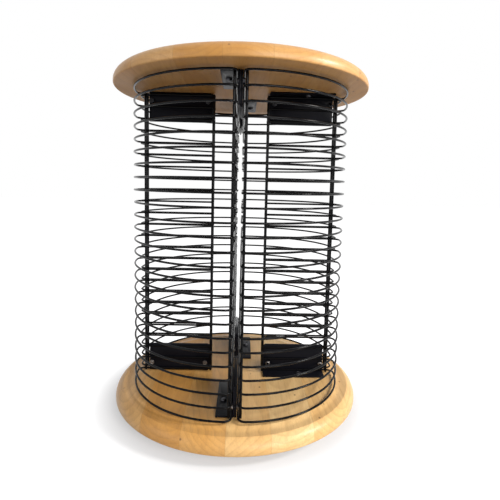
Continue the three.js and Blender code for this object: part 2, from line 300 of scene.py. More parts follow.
rubber, tree, coordinates = new_material("black_rubber")
rubber_dust = noise_of(tree, coordinates, 260, 4)
rubber_skin = noise_of(tree, coordinates, 2400, 2)
clean_rubber = (0.012, 0.012, 0.012, 1)
dusty_rubber = (0.05, 0.048, 0.045, 1)
surface(tree, {
    "Base Color": blend_of(tree, span_of(tree, rubber_dust, 0.45, 0.75), clean_rubber, dusty_rubber),
    "Roughness": span_of(tree, rubber_dust, 0.3, 0.7, 0.62, 0.9),
    "Normal": relief_of(tree, rubber_skin, 0.0002, 0.5),
})
foot_dish = 0.0006
foot_rounding = 0.0008
dish_share = 0.6
rim_share = 0.72
tread_share = 0.93
for number in range(1, 5):
    node = f"rubber_foot_{number}"
    low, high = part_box(node)
    radius = (high.x - low.x) / 2
    profile = soft_corners([
        (0, low.z + foot_dish), (radius * dish_share, low.z + foot_dish), (radius * rim_share, low.z),
        (radius * tread_share, low.z), (radius, high.z), (0, high.z),
    ], foot_rounding)
    centre = ((low.x + high.x) / 2, (low.y + high.y) / 2)
    foot = turned(f"moulded_foot_{number}", profile, sides=48, centre=centre)
    finish_piece(foot, rubber, "stand", [node])


# Swivel. Two pressed steel plates, blackened, that hold a ring of balls between them. The
# lower plate's collar is rolled over the rim of the upper plate's hole.
def new_group(kind, name, inputs, outputs):
    """A node group with named sockets; returns it with the sockets on its inside."""
    group = bpy.data.node_groups.new(name, kind)
    for label, socket, *value in inputs:
        entry = group.interface.new_socket(label, in_out="INPUT", socket_type="NodeSocket" + socket)
        if value:
            entry.default_value = value[0]
    for label, socket in outputs:
        group.interface.new_socket(label, in_out="OUTPUT", socket_type="NodeSocket" + socket)
    given = group.nodes.new("NodeGroupInput").outputs
    wanted = group.nodes.new("NodeGroupOutput").inputs
    return group, given, wanted


def give_out(group, wanted, values):
    """Links values to the named outputs of a group."""
    for label, value in values.items():
        group.links.new(value, wanted[label])


def steel_group():
    """Haze, sparkle and faint turning marks on plated or blackened steel."""
    group, given, wanted = new_group(
        "ShaderNodeTree", "steel_marks", [("Vector", "Vector")],
        [("Haze", "Float"), ("Sparkle", "Float"), ("Normal", "Vector")],
    )
    marks_per_metre = 2600.0
    haze = noise_of(group, given["Vector"], 45, 5)
    spangle = noise_of(group, given["Vector"], 900, 3)
    reach = put(group, "ShaderNodeVectorMath", {0: given["Vector"]}, operation="LENGTH").outputs["Value"]
    turning = put(group, "ShaderNodeTexNoise", {
        "W": math_of(group, "MULTIPLY", reach, marks_per_metre), "Scale": 1.0,
    }, noise_dimensions="1D").outputs["Fac"]
    give_out(group, wanted, {
        "Haze": span_of(group, haze, 0.35, 0.75),
        "Sparkle": math_of(group, "ADD", spangle, haze),
        "Normal": relief_of(group, turning, 0.00003, 0.6),
    })
    return group


steel_marks = steel_group()


def plated_steel(name, colour, roughness):
    """Plated or blackened steel, with its marks, haze and stains."""
    material, tree, coordinates = new_material(name)
    marks = put(tree, "ShaderNodeGroup", {"Vector": coordinates}, node_tree=steel_marks).outputs
    stain_depth = 0.55
    stained = tuple(channel * stain_depth for channel in colour[:3]) + (1,)
    surface(tree, {
        "Base Color": blend_of(tree, marks["Haze"], colour, stained),
        "Metallic": 0.9,
        "Roughness": span_of(tree, marks["Sparkle"], 0.7, 1.3, roughness - 0.08, roughness + 0.14),
        "Normal": marks["Normal"],
    })
    return material


swivel_steel = plated_steel("swivel_blacking", (0.045, 0.045, 0.048, 1), 0.40)
swivel_sheet = 0.0016
swivel_sides = 144
press_rounding = 0.0005
race_radius = 0.078
race_depth = 0.0004
race_half = 0.002
collar_radius = 0.018
collar_lip = 0.005
collar_end = collar_radius + collar_lip
collar_bore = collar_radius - swivel_sheet
lower_low, lower_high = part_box("swivel_lower_plate")
swivel_radius = lower_high.x
lower_top = lower_low.z + swivel_sheet
lip_under = lower_high.z - swivel_sheet
lower_profile = soft_corners([
    (collar_bore, lower_low.z), (swivel_radius, lower_low.z), (swivel_radius, lower_top),
    (race_radius + race_half, lower_top), (race_radius, lower_top - race_depth),
    (race_radius - race_half, lower_top), (collar_radius, lower_top), (collar_radius, lip_under),
    (collar_end, lip_under), (collar_end, lower_high.z), (collar_bore, lower_high.z),
], press_rounding, steps=3)
lower_plate = turned("pressed_lower_plate", lower_profile + lower_profile[:1], swivel_sides)
finish_piece(lower_plate, swivel_steel, "stand", ["swivel_lower_plate"])

upper_low, upper_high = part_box("swivel_upper_plate")
collar_clearance = 0.0009
dish_width = 0.0024
dish_slope = 0.005
hole_radius = collar_radius + collar_clearance
dish_floor = collar_end + dish_width
dish_brow = dish_floor + dish_slope
upper_bottom = upper_high.z - swivel_sheet
upper_profile = soft_corners([
    (hole_radius, upper_low.z), (dish_floor, upper_low.z), (dish_brow, upper_bottom),
    (race_radius - race_half, upper_bottom), (race_radius, upper_bottom + race_depth),
    (race_radius + race_half, upper_bottom), (swivel_radius, upper_bottom),
    (swivel_radius, upper_high.z), (dish_brow, upper_high.z),
    (dish_floor, upper_low.z + swivel_sheet), (hole_radius, upper_low.z + swivel_sheet),
], press_rounding, steps=3)
upper_plate = turned("pressed_upper_plate", upper_profile + upper_profile[:1], swivel_sides)
finish_piece(upper_plate, swivel_steel, "tower", ["swivel_upper_plate"])


# Ball ring. Twelve steel balls in the pockets of a flat steel retainer. It lies loose
# between the two swivel plates and follows the tower at half its angle.
def geometry_tree(name, inputs):
    """A geometry tree with named inputs; returns it with the sockets on its inside."""
    inputs = [("Geometry", "Geometry")] + inputs + [("Material", "Material")]
    return new_group("GeometryNodeTree", name, inputs, [("Geometry", "Geometry")])


def joined_in(tree, parts):
    """Joins geometry inside a tree."""
    join = put(tree, "GeometryNodeJoinGeometry")
    for part in parts:
        tree.links.new(part, join.inputs[0])
    return join.outputs[0]


def close_tree(tree, given, wanted, parts):
    """Ends a geometry tree: its parts are joined, made real and painted."""
    real = out_of(tree, "GeometryNodeRealizeInstances", {"Geometry": joined_in(tree, parts)})
    painted = out_of(tree, "GeometryNodeSetMaterial", {"Geometry": real, "Material": given["Material"]})
    tree.links.new(painted, wanted["Geometry"])


def applied_mesh(name, holder):
    """The mesh of an object with its modifiers applied."""
    evaluated = holder.evaluated_get(bpy.context.evaluated_depsgraph_get())
    mesh = bpy.data.meshes.new_from_object(evaluated)
    mesh.name = name
    return mesh


def grown(name, start, tree, values):
    """Runs a geometry tree on a start mesh and keeps the result as a plain mesh."""
    holder = in_scene(name + "_start", start)
    modifier = holder.modifiers.new("grow", "NODES")
    modifier.node_group = tree
    for item in tree.interface.items_tree:
        if item.item_type == "SOCKET" and item.in_out == "INPUT" and item.name in values:
            modifier[item.identifier] = values[item.name]
    mesh = applied_mesh(name, holder)
    holder.modifiers.remove(modifier)
    bpy.data.objects.remove(holder)
    bpy.data.meshes.remove(start)
    return smooth_piece(name, mesh, sharp_from=50)


ball_tree, ball_given, ball_wanted = geometry_tree("balls_in_a_ring", [
    ("Ball Count", "Int", 12), ("Ring Radius", "Float", race_radius),
    ("Ball Radius", "Float", 0.0024), ("Height", "Float", 0.0),
])
ball_circle = out_of(ball_tree, "GeometryNodeMeshCircle", {
    "Vertices": ball_given["Ball Count"], "Radius": ball_given["Ring Radius"],
})
ball_lift = out_of(ball_tree, "ShaderNodeCombineXYZ", {"Z": ball_given["Height"]})
ball_points = out_of(ball_tree, "GeometryNodeSetPosition", {"Geometry": ball_circle, "Offset": ball_lift})
ball_form = out_of(ball_tree, "GeometryNodeMeshUVSphere", {
    "Segments": 24, "Rings": 12, "Radius": ball_given["Ball Radius"],
})
balls = out_of(ball_tree, "GeometryNodeInstanceOnPoints", {"Points": ball_points, "Instance": ball_form})
smooth_balls = out_of(ball_tree, "GeometryNodeSetShadeSmooth", {"Geometry": balls})
close_tree(ball_tree, ball_given, ball_wanted, [smooth_balls, ball_given["Geometry"]])

ball_steel = plated_steel("ball_steel", (0.56, 0.56, 0.57, 1), 0.18)
ball_low, ball_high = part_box("swivel_ball_ring")
ball_height = (ball_low.z + ball_high.z) / 2
retainer_half_height = 0.0006
retainer_half_width = 0.0045
retainer_profile = [
    (race_radius + out * retainer_half_width, ball_height + up * retainer_half_height)
    for out, up in square_corners
]
retainer = turned_mesh("retainer_start", retainer_profile + retainer_profile[:1], sides=96)
ball_ring = grown("balls_and_retainer", retainer, ball_tree, {
    "Ball Radius": (ball_high.z - ball_low.z) / 2, "Height": ball_height, "Material": ball_steel,
})
finish_piece(ball_ring, ball_steel, "ball_ring", ["swivel_ball_ring"])


# Base disc. Hardwood boards glued edge to edge from front to back, turned to a round with
# a shallow cove, a crisp ridge and a rounded shoulder, then finished in a honey lacquer.
def wood_group():
    """Edge-glued boards: each has its own tone, growth rings, fibres and pores."""
    sizes = ("Board Width", "Board Shift", "Middle Height", "Ring Spacing", "Seed")
    inputs = [("Vector", "Vector")] + [(label, "Float") for label in sizes]
    inputs += [(label, "Color") for label in ("Pale", "Golden", "Brown")]
    outputs = [("Color", "Color"), ("Height", "Float"), ("Pores", "Float")]
    group, given, wanted = new_group("ShaderNodeTree", "glued_boards", inputs, outputs)

    def plus(first, second):
        return math_of(group, "ADD", first, second)

    def less(first, second):
        return math_of(group, "SUBTRACT", first, second)

    def times(first, second):
        return math_of(group, "MULTIPLY", first, second)

    def span(value, low, high, to_low=0.0, to_high=1.0):
        return span_of(group, value, low, high, to_low, to_high)

    def scaled(x, y, z):
        return out_of(group, "ShaderNodeVectorMath", {0: given["Vector"], 1: (x, y, z)}, operation="MULTIPLY")

    def dice(offset):
        seeded = plus(plus(board, given["Seed"]), offset)
        drawn = put(group, "ShaderNodeTexWhiteNoise", {"W": seeded}, noise_dimensions="1D")
        return put(group, "ShaderNodeSeparateColor", {0: drawn.outputs["Color"]}).outputs

    place = put(group, "ShaderNodeSeparateXYZ", {0: given["Vector"]}).outputs
    across = math_of(group, "DIVIDE", plus(place[0], given["Board Shift"]), given["Board Width"])
    board = math_of(group, "FLOOR", across)
    edge_share = math_of(group, "FRACT", across)
    first_dice, second_dice, third_dice = dice(3.7), dice(41.3), dice(77.1)

    # The heart of the trunk lies beside and above or below each board, and drifts along it
    side_spread, drift_spread, rise_spread = 0.07, 0.22, 0.16
    least_depth, depth_spread = 0.022, 0.06
    ring_wander = 0.011
    board_middle = less(times(plus(board, 0.5), given["Board Width"]), given["Board Shift"])
    heart_side = times(less(first_dice[0], 0.5), side_spread)
    heart_drift = times(less(first_dice[2], 0.5), drift_spread)
    heart_x = plus(plus(board_middle, heart_side), times(heart_drift, place[1]))
    above = less(times(math_of(group, "GREATER_THAN", first_dice[1], 0.5), 2.0), 1.0)
    heart_depth = times(above, plus(times(second_dice[0], depth_spread), least_depth))
    heart_rise = times(times(less(second_dice[1], 0.5), rise_spread), place[1])
    heart_z = plus(plus(given["Middle Height"], heart_depth), heart_rise)
    ring_x = less(place[0], heart_x)
    ring_z = less(place[2], heart_z)
    ring_reach = math_of(group, "SQRT", plus(times(ring_x, ring_x), times(ring_z, ring_z)))
    drift = noise_of(group, scaled(16, 4, 16), 1.0, 3)
    wander = times(less(drift, 0.5), ring_wander)
    ring_count = math_of(group, "DIVIDE", plus(ring_reach, wander), given["Ring Spacing"])
    rings = math_of(group, "FRACT", ring_count)
    late_wood = times(math_of(group, "POWER", rings, 3.0), span(rings, 0.9, 1.0, 1.0, 0.0))

    # Fibres, streaks, pores and a few dark nicks run with the boards
    fibres = noise_of(group, scaled(650, 26, 650), 1.0, 3, 0.6)
    streaks = noise_of(group, scaled(150, 5, 150), 1.0, 3, 0.6)
    pores = span(noise_of(group, scaled(1500, 130, 1500), 1.0, 2), 0.62, 0.72)
    cloud = noise_of(group, scaled(26, 7, 26), 1.0, 3, 0.55)
    nick_cells = put(group, "ShaderNodeTexVoronoi", {"Vector": scaled(95, 60, 95), "Scale": 1.0}).outputs
    nick_dice = put(group, "ShaderNodeSeparateColor", {0: nick_cells["Color"]}).outputs
    nick_chosen = math_of(group, "GREATER_THAN", nick_dice[0], 0.80)
    nicks = times(span(nick_cells["Distance"], 0.06, 0.15, 1.0, 0.0), nick_chosen)

    # The glued seams show as fine dark lines along the edges of the boards
    seam_core, seam_edge = 0.0001, 0.00045
    nearer_edge = math_of(group, "MINIMUM", edge_share, less(1.0, edge_share))
    seam = span(times(nearer_edge, given["Board Width"]), seam_core, seam_edge, 1.0, 0.0)

    # Each board's own tone first, then the grain in brown, and nicks and seams darker still
    tone = plus(times(second_dice[2], 0.7), times(cloud, 0.55))
    body = blend_of(group, span(tone, 0.25, 0.95), given["Pale"], given["Golden"])
    for share in (
        span(third_dice[0], 0.55, 1.0, 0.0, 0.14),
        times(late_wood, 0.33),
        times(span(fibres, 0.42, 0.72), 0.20),
        times(span(streaks, 0.48, 0.74), 0.24),
        times(pores, 0.3),
    ):
        body = blend_of(group, share, body, given["Brown"])
    darkening = {0: given["Brown"], 1: (0.32, 0.28, 0.25)}
    dark = out_of(group, "ShaderNodeVectorMath", darkening, operation="MULTIPLY")
    for share in (times(nicks, 0.75), times(seam, 0.16)):
        body = blend_of(group, share, body, dark)
    dips = plus(times(pores, 0.5), plus(times(nicks, 1.4), seam))
    height = less(times(fibres, 0.35), dips)
    give_out(group, wanted, {"Color": body, "Height": height, "Pores": pores})
    return group


glued_boards = wood_group()


def upward_of(tree):
    """How far a face looks up: 1 on top, 0 on a wall, -1 underneath."""
    return put(tree, "ShaderNodeSeparateXYZ", {
        0: put(tree, "ShaderNodeNewGeometry").outputs["Normal"],
    }).outputs["Z"]


def lacquered_wood(name, board_shift, middle_height, seed, pale, golden):
    """Satin lacquer over glued boards, with haze and dents; duller underneath, and tinted amber there as
    painted shade.
    """
    material, tree, coordinates = new_material(name)
    boards = put(tree, "ShaderNodeGroup", {
        "Vector": coordinates, "Board Width": 0.047, "Board Shift": board_shift,
        "Middle Height": middle_height, "Ring Spacing": 0.0052, "Seed": seed,
        "Pale": pale, "Golden": golden, "Brown": (0.36, 0.165, 0.055, 1),
    }, node_tree=glued_boards).outputs
    # Faces that look down are blended towards amber: painted shade on the underside.
    painted_underside_shade = (0.66, 0.27, 0.045, 1)
    dents = noise_of(tree, coordinates, 70, 2)
    haze = noise_of(tree, coordinates, 18, 4)
    grain_relief = relief_of(tree, boards["Height"], 0.00012, 0.7)
    dent_relief = put(tree, "ShaderNodeBump", {
        "Height": dents, "Distance": 0.0006, "Strength": 0.35, "Normal": grain_relief,
    }).outputs["Normal"]
    upward = upward_of(tree)
    underside = span_of(tree, upward, -0.9, -0.6, 0.14, 0.0)
    polish = span_of(tree, math_of(tree, "ADD", haze, boards["Pores"]), 0.3, 1.3, 0.36, 0.62)
    surface(tree, {
        "Base Color": blend_of(tree, underside, boards["Color"], painted_underside_shade),
        "Roughness": math_of(tree, "ADD", polish, underside, clamp=True),
        "Specular IOR Level": 0.28,
        "Coat Weight": span_of(tree, upward, -0.9, -0.6, 0.04, 0.12),
        "Coat Roughness": 0.28,
        "Normal": dent_relief,
    })
    return material


def arc_points(centre, size, start, end, steps):
    """Points on an ellipse, from one angle to another, in degrees."""
    angles = [math.radians(start + (end - start) * step / steps) for step in range(steps + 1)]
    return [(centre[0] + size[0] * math.cos(a), centre[1] + size[1] * math.sin(a)) for a in angles]


def turned_disc(name, low, high):
    """A disc with its moulded side up: flat middle, cove, crisp ridge, shoulder, broken edge."""
    radius, face = high.x, high.z
    edge = 0.0018
    ridge_width, ridge_drop = 0.0002, 0.00235
    shoulder_width, shoulder_drop, shoulder_end = 0.0093, 0.0128, 58
    rise_width, rise_bend, rise_steps = 0.0075, 1.7, 8
    cove_width, cove_drop, cove_steps, cove_run_out = 0.0135, 0.0027, 16, 0.001
    ridge = (radius - shoulder_width, face - ridge_drop)
    cove = (ridge[0] - rise_width, face - cove_drop)
    shoulder = (
        shoulder_width / (1 - math.cos(math.radians(shoulder_end))),
        shoulder_drop / math.sin(math.radians(shoulder_end)),
    )
    shoulder_centre = (radius - shoulder[0], ridge[1] - shoulder_drop)
    outline = [(0, low.z), (radius - edge, low.z)]
    outline += arc_points((radius - edge, low.z + edge), (edge, edge), -90, 0, 6)[1:]
    outline += arc_points(shoulder_centre, shoulder, 0, shoulder_end - 1, 24)
    outline.append((ridge[0] - ridge_width, ridge[1]))
    for step in range(1, rise_steps + 1):
        share = step / rise_steps
        fall = (1 - share) ** rise_bend
        outline.append((ridge[0] - rise_width * share, cove[1] + (ridge[1] - cove[1]) * fall))
    for step in range(1, cove_steps + 1):
        share = step / cove_steps
        climb = share ** 2 * (3 - 2 * share)
        outline.append((cove[0] - cove_width * share, cove[1] + (face - cove[1]) * climb))
    outline += [(cove[0] - cove_width - cove_run_out, face), (0, face)]
    return turned(name, outline, sides=256)


base_low, base_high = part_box("base_disc")
base_wood = lacquered_wood(
    "base_boards", board_shift=0.0085, middle_height=(base_low.z + base_high.z) / 2, seed=5550.0,
    pale=(0.86, 0.59, 0.275, 1), golden=(0.70, 0.35, 0.088, 1),
)
base_disc = turned_disc("turned_base", base_low, base_high)
finish_piece(base_disc, base_wood, "tower", ["base_disc"])


# Flat plates. Eight cut from 2 mm sheet, one at the foot and one at the head of each rack,
# lying on the wires. Two corners are clipped, the rims are broken, the paint is black.
def closed_outline(corners, radius):
    """Rounds every corner of a closed outline, starting halfway along its last side."""
    seam = tuple((one + other) / 2 for one, other in zip(corners[-1], corners[0]))
    return soft_corners([seam] + corners + [seam], radius, steps=5)[:-1]


def cut_sheet(outline, holes, thickness, folds=()):
    """A flat sheet in (along, across, depth), with round holes, folding lines and broken rims."""
    hole_points = 24
    flat_angle = 0.01
    rim_angle = 1
    rim_width = 0.00025
    form = bmesh.new()
    loops = [outline]
    for along, across, radius in holes:
        last_angle = 360 - 360 / hole_points
        loops.append(arc_points((along, across), (radius, radius), 0, last_angle, hole_points - 1))
    for loop in loops:
        corners = [form.verts.new((along, across, 0)) for along, across in loop]
        for one, other in zip(corners, corners[1:] + corners[:1]):
            form.edges.new((one, other))
    bmesh.ops.triangle_fill(form, edges=form.edges[:], use_beauty=True)
    bmesh.ops.dissolve_limit(form, angle_limit=flat_angle, verts=form.verts[:], edges=form.edges[:])
    for fold in folds:
        everything = form.verts[:] + form.edges[:] + form.faces[:]
        bmesh.ops.bisect_plane(form, geom=everything, plane_co=(0, fold, 0), plane_no=(0, 1, 0))
    raised = bmesh.ops.extrude_face_region(form, geom=form.faces[:])["geom"]
    corners = [item for item in raised if isinstance(item, bmesh.types.BMVert)]
    bmesh.ops.translate(form, vec=(0, 0, thickness), verts=corners)
    bmesh.ops.recalc_face_normals(form, faces=form.faces[:])
    rims = [edge for edge in form.edges if edge.calc_face_angle(0) > rim_angle]
    rims = [edge for edge in rims if abs(edge.verts[0].co.z - edge.verts[1].co.z) < thickness / 2]
    bmesh.ops.bevel(
        form, geom=rims, offset=rim_width, segments=2, profile=0.5, affect="EDGES", clamp_overlap=True,
    )
    return form


def shaped_sheet(name, form, place_of, turn):
    """Moves each point of a sheet to its place, and turns it onto its arm."""
    onto_arm = Matrix.Rotation(turn, 3, "Z")
    for vert in form.verts:
        vert.co = onto_arm @ Vector(place_of(*vert.co))
    bmesh.ops.recalc_face_normals(form, faces=form.faces[:])
    return smooth_piece(name, mesh_of(name, form))


def enamel_group():
    """Cloudy gloss, scuffs, dust and orange peel on baked enamel."""
    group, given, wanted = new_group(
        "ShaderNodeTree", "enamel_marks",
        [("Vector", "Vector"), ("Upward", "Float"), ("Peel", "Float")],
        [("Cloud", "Float"), ("Scuffs", "Float"), ("Dust", "Float"), ("Normal", "Vector")],
    )
    cloud = noise_of(group, given["Vector"], 60, 4)
    scuffs = span_of(group, noise_of(group, given["Vector"], 520, 5, 0.65), 0.63, 0.72)
    skin = noise_of(group, given["Vector"], 1300, 2)
    settled = span_of(group, given["Upward"], 0.5, 1.0)
    give_out(group, wanted, {
        "Cloud": cloud,
        "Scuffs": scuffs,
        "Dust": math_of(group, "MULTIPLY", settled, span_of(group, cloud, 0.4, 0.8, 0.25, 1.0)),
        "Normal": relief_of(group, skin, given["Peel"], 0.5),
    })
    return group


enamel_marks = enamel_group()


def black_enamel(name, colour, roughness, gloss, peel, wear):
    """Baked black enamel, with as much orange peel, scuffing and dust as it is given."""
    material, tree, coordinates = new_material(name)
    marks = put(tree, "ShaderNodeGroup", {
        "Vector": coordinates, "Upward": upward_of(tree), "Peel": peel,
    }, node_tree=enamel_marks).outputs
    dust_share = 0.35
    pale = tuple(0.02 + channel * 2 for channel in colour[:3]) + (1,)
    scuffing = math_of(tree, "MULTIPLY", marks["Scuffs"], wear)
    dusting = math_of(tree, "MULTIPLY", marks["Dust"], wear * dust_share)
    spread = math_of(tree, "ADD", marks["Cloud"], scuffing)
    surface(tree, {
        "Base Color": blend_of(tree, dusting, blend_of(tree, scuffing, colour, pale), pale),
        "Roughness": span_of(tree, spread, 0.3, 1.4, roughness - 0.05, roughness + 0.15),
        "Specular IOR Level": gloss,
        "Normal": marks["Normal"],
    })
    return material


# The paint's blue tint is a painted reflection of the room.
sheet_enamel = black_enamel(
    "sheet_enamel", (0.0066, 0.0068, 0.0098, 1), roughness=0.34, gloss=0.06, peel=0.00005, wear=0.20,
)
rack_names = ("back_right", "back_left", "front_left", "front_right")
rack_ends = (("lower", 1), ("upper", -1))
quarter = math.pi / 2
sheet_end = 0.117
plate_clip = 0.0042
plate_rounding = 0.0007
bolt_reaches = (0.0425, 0.114)
bolt_hole = 0.0018
bolt_rise = 0.0075
end_wire_rise = 0.0033
for end, inward in rack_ends:
    low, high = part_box(f"back_right_{end}_plate")
    start, stop, rise = low.x, min(high.x, sheet_end), high.z - low.z
    foot = low.z if inward > 0 else high.z
    corners = [
        (start, plate_clip), (start + plate_clip, 0), (stop, 0),
        (stop, rise), (start + plate_clip, rise), (start, rise - plate_clip),
    ]
    holes = [(reach, end_wire_rise + bolt_rise, bolt_hole) for reach in bolt_reaches]

    def laid_flat(along, across, depth):
        """Where a point of the flat sheet lies on the wires of the first arm."""
        return along, low.y + depth, foot + inward * across

    for number, rack in enumerate(rack_names):
        sheet = cut_sheet(closed_outline(corners, plate_rounding), holes, high.y - low.y)
        plate = shaped_sheet(f"{rack}_{end}_flat_plate", sheet, laid_flat, number * quarter)
        finish_piece(plate, sheet_enamel, "tower", [f"{rack}_{end}_plate"])


# Angle brackets. Eight blanks of 2 mm sheet, cut and drilled flat and then folded, with the
# flange pressed a little thinner. The leg bolts to the neighbour's plate, and the flange is
# screwed to the wood.
bracket_rounding = 0.0012
bend_radius = 0.0026
bend_steps = 8
leg_sheet = 0.0020
flange_sheet = 0.0018
screw_reach = 0.0835
screw_offset = 0.013
screw_hole = 0.00225
screw_hole_shift = 0.00015
for end, inward in rack_ends:
    low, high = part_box(f"front_right_{end}_bracket")
    foot = low.z if inward > 0 else high.z
    flange_free, leg_face = low.y, high.y
    bend_start = leg_face - bend_radius - flange_free
    bend_length = quarter * (bend_radius - leg_sheet / 2)
    leg_height = high.z - low.z
    across_end = bend_start + bend_length + leg_height - bend_radius
    stop = min(high.x, sheet_end)
    corners = [(low.x, 0), (stop, 0), (stop, across_end), (low.x, across_end)]
    leg_shift = bend_start + bend_length - bend_radius
    holes = [(reach, leg_shift + end_wire_rise + bolt_rise, bolt_hole) for reach in bolt_reaches]
    holes.append((screw_reach, leg_face - flange_free - screw_offset + screw_hole_shift, screw_hole))

    def folded(along, across, depth):
        """Where a point of the flat blank lies once the leg is folded up."""
        bent = min(max((across - bend_start) / bend_length, 0), 1)
        depth *= flange_sheet / leg_sheet + bent * (1 - flange_sheet / leg_sheet)
        if bent <= 0:
            return along, flange_free + across, foot + inward * depth
        if bent >= 1:
            return along, leg_face - depth, foot + inward * (across - leg_shift)
        angle = bent * quarter
        side = leg_face - bend_radius + (bend_radius - depth) * math.sin(angle)
        return along, side, foot + inward * (bend_radius - (bend_radius - depth) * math.cos(angle))

    folds = [bend_start + bend_length * step / bend_steps for step in range(bend_steps + 1)]
    for number, rack in enumerate(rack_names):
        sheet = cut_sheet(closed_outline(corners, bracket_rounding), holes, leg_sheet, folds)
        bracket = shaped_sheet(f"{rack}_{end}_angle", sheet, folded, (number + 1) * quarter)
        finish_piece(bracket, sheet_enamel, "tower", [f"{rack}_{end}_bracket"])


# Wire racks. Each has 25 bent shelf wires, spot welded to four uprights and dipped in gloss
# black enamel. The arms run along the tower's middle planes, and the bow closes the quarter.
level_count = 25
wire_radius = 0.0012
wire_sides = 10
wire_tail = 0.0003
upright_radius = 0.0015
upright_sides = 14
bead_radius = 0.0011
arm_plane = 0.00370
upright_plane = 0.00632
inner_reach = 0.035
outer_reach = 0.121
shelf_reach = 0.1304
bow_inset = 0.009
corner_radius = 0.008
shelf_part, upright_part, bead_part = 0, 1, 2


def shelf_path():
    """Points of a shelf wire: tail, arm, corner, bow, and the same back along the other arm."""
    bow_radius = shelf_reach - bow_inset
    corner_y = arm_plane + corner_radius
    corner_x = bow_inset + math.sqrt((bow_radius - corner_radius) ** 2 - (corner_y - bow_inset) ** 2)
    bow_start = math.degrees(math.atan2(corner_y - bow_inset, corner_x - bow_inset))
    half = [(inner_reach - upright_radius - wire_tail, arm_plane)]
    half += arc_points((corner_x, corner_y), (corner_radius, corner_radius), -90, bow_start, 9)
    half += arc_points((bow_inset, bow_inset), (bow_radius, bow_radius), bow_start, 45, 20)[1:]
    return half + [(y, x) for x, y in reversed(half[:-1])]


def rack_start(name, turn, first_level, last_level):
    """Centre lines of one rack: its lowest shelf wire, four uprights and the welds between."""
    onto_rack = Matrix.Rotation(turn, 3, "Z")
    points = [(x, y, first_level) for x, y in shelf_path()]
    parts = [shelf_part] * len(points)
    edges = [(index, index + 1) for index in range(len(points) - 1)]
    weld_plane = (arm_plane + upright_plane) / 2
    for reach in (inner_reach, outer_reach):
        for x, y in ((reach, upright_plane), (upright_plane, reach)):
            edges.append((len(points), len(points) + 1))
            points += [(x, y, first_level - wire_radius), (x, y, last_level + wire_radius)]
            parts += [upright_part, upright_part]
        for x, y in ((reach, weld_plane), (weld_plane, reach)):
            points.append((x, y, first_level))
            parts.append(bead_part)
    mesh = bpy.data.meshes.new(name)
    mesh.from_pydata([onto_rack @ Vector(point) for point in points], edges, [])
    mesh.attributes.new("part", "INT", "POINT").data.foreach_set("value", parts)
    return mesh


rack_tree, rack_given, rack_wanted = geometry_tree("welded_wire_rack", [
    ("Level Count", "Int", level_count), ("Level Pitch", "Float", 0.015),
    ("Wire Radius", "Float", wire_radius), ("Upright Radius", "Float", upright_radius),
    ("Bead Radius", "Float", bead_radius), ("Unevenness", "Float", 0.00018), ("Seed", "Int", 0),
])
part_name = put(rack_tree, "GeometryNodeInputNamedAttribute", {"Name": "part"}, data_type="INT")


def rack_lines(part):
    """The points and edges of one kind in the start mesh."""
    chosen = out_of(rack_tree, "FunctionNodeCompare", {
        2: part_name.outputs["Attribute"], 3: part,
    }, data_type="INT", operation="EQUAL")
    return out_of(rack_tree, "GeometryNodeSeparateGeometry", {
        "Geometry": rack_given["Geometry"], "Selection": chosen,
    }, domain="POINT")


def rack_rod(part, radius, sides):
    """Round wire along the centre lines of one kind, with closed ends."""
    line = out_of(rack_tree, "GeometryNodeMeshToCurve", {"Mesh": rack_lines(part)})
    ring = out_of(rack_tree, "GeometryNodeCurvePrimitiveCircle", {"Resolution": sides, "Radius": radius})
    rod = {"Curve": line, "Profile Curve": ring, "Fill Caps": True}
    return out_of(rack_tree, "GeometryNodeCurveToMesh", rod)


shelf_rod = rack_rod(shelf_part, rack_given["Wire Radius"], wire_sides)
upright_rods = rack_rod(upright_part, rack_given["Upright Radius"], upright_sides)
bead_form = out_of(rack_tree, "GeometryNodeMeshUVSphere", {
    "Segments": 8, "Rings": 6, "Radius": rack_given["Bead Radius"],
})
beads = out_of(rack_tree, "GeometryNodeInstanceOnPoints", {
    "Points": rack_lines(bead_part), "Instance": bead_form,
})
level_step = out_of(rack_tree, "ShaderNodeCombineXYZ", {"Z": rack_given["Level Pitch"]})
levels = out_of(rack_tree, "GeometryNodeMeshLine", {
    "Count": rack_given["Level Count"], "Offset": level_step,
}, mode="OFFSET")
jitter = out_of(rack_tree, "FunctionNodeRandomValue", {
    "Min": (-1, -1, -1), "Max": (1, 1, 1), "Seed": rack_given["Seed"],
}, data_type="FLOAT_VECTOR")
level_shift = out_of(rack_tree, "ShaderNodeVectorMath", {
    0: jitter, "Scale": rack_given["Unevenness"],
}, operation="SCALE")
uneven_levels = out_of(rack_tree, "GeometryNodeSetPosition", {"Geometry": levels, "Offset": level_shift})
all_levels = out_of(rack_tree, "GeometryNodeInstanceOnPoints", {
    "Points": uneven_levels, "Instance": joined_in(rack_tree, [shelf_rod, beads]),
})
close_tree(rack_tree, rack_given, rack_wanted, [all_levels, upright_rods])

wire_enamel = black_enamel(
    "wire_enamel", (0.0022, 0.0022, 0.0028, 1), roughness=0.17, gloss=0.10, peel=0.00002, wear=0.04,
)
for number, rack in enumerate(rack_names):
    combs = [f"{rack}_rack_{arm}_side_{side}" for arm in ("plate", "bracket") for side in ("inner", "outer")]
    low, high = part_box(combs[0])
    first_level, last_level = low.z + wire_radius, high.z - wire_radius
    start = rack_start(f"{rack}_lines", number * quarter, first_level, last_level)
    level_pitch = (last_level - first_level) / (level_count - 1)
    wires = grown(f"{rack}_wires", start, rack_tree, {
        "Level Pitch": level_pitch, "Seed": number, "Material": wire_enamel,
    })
    finish_piece(wires, wire_enamel, "tower", combs)
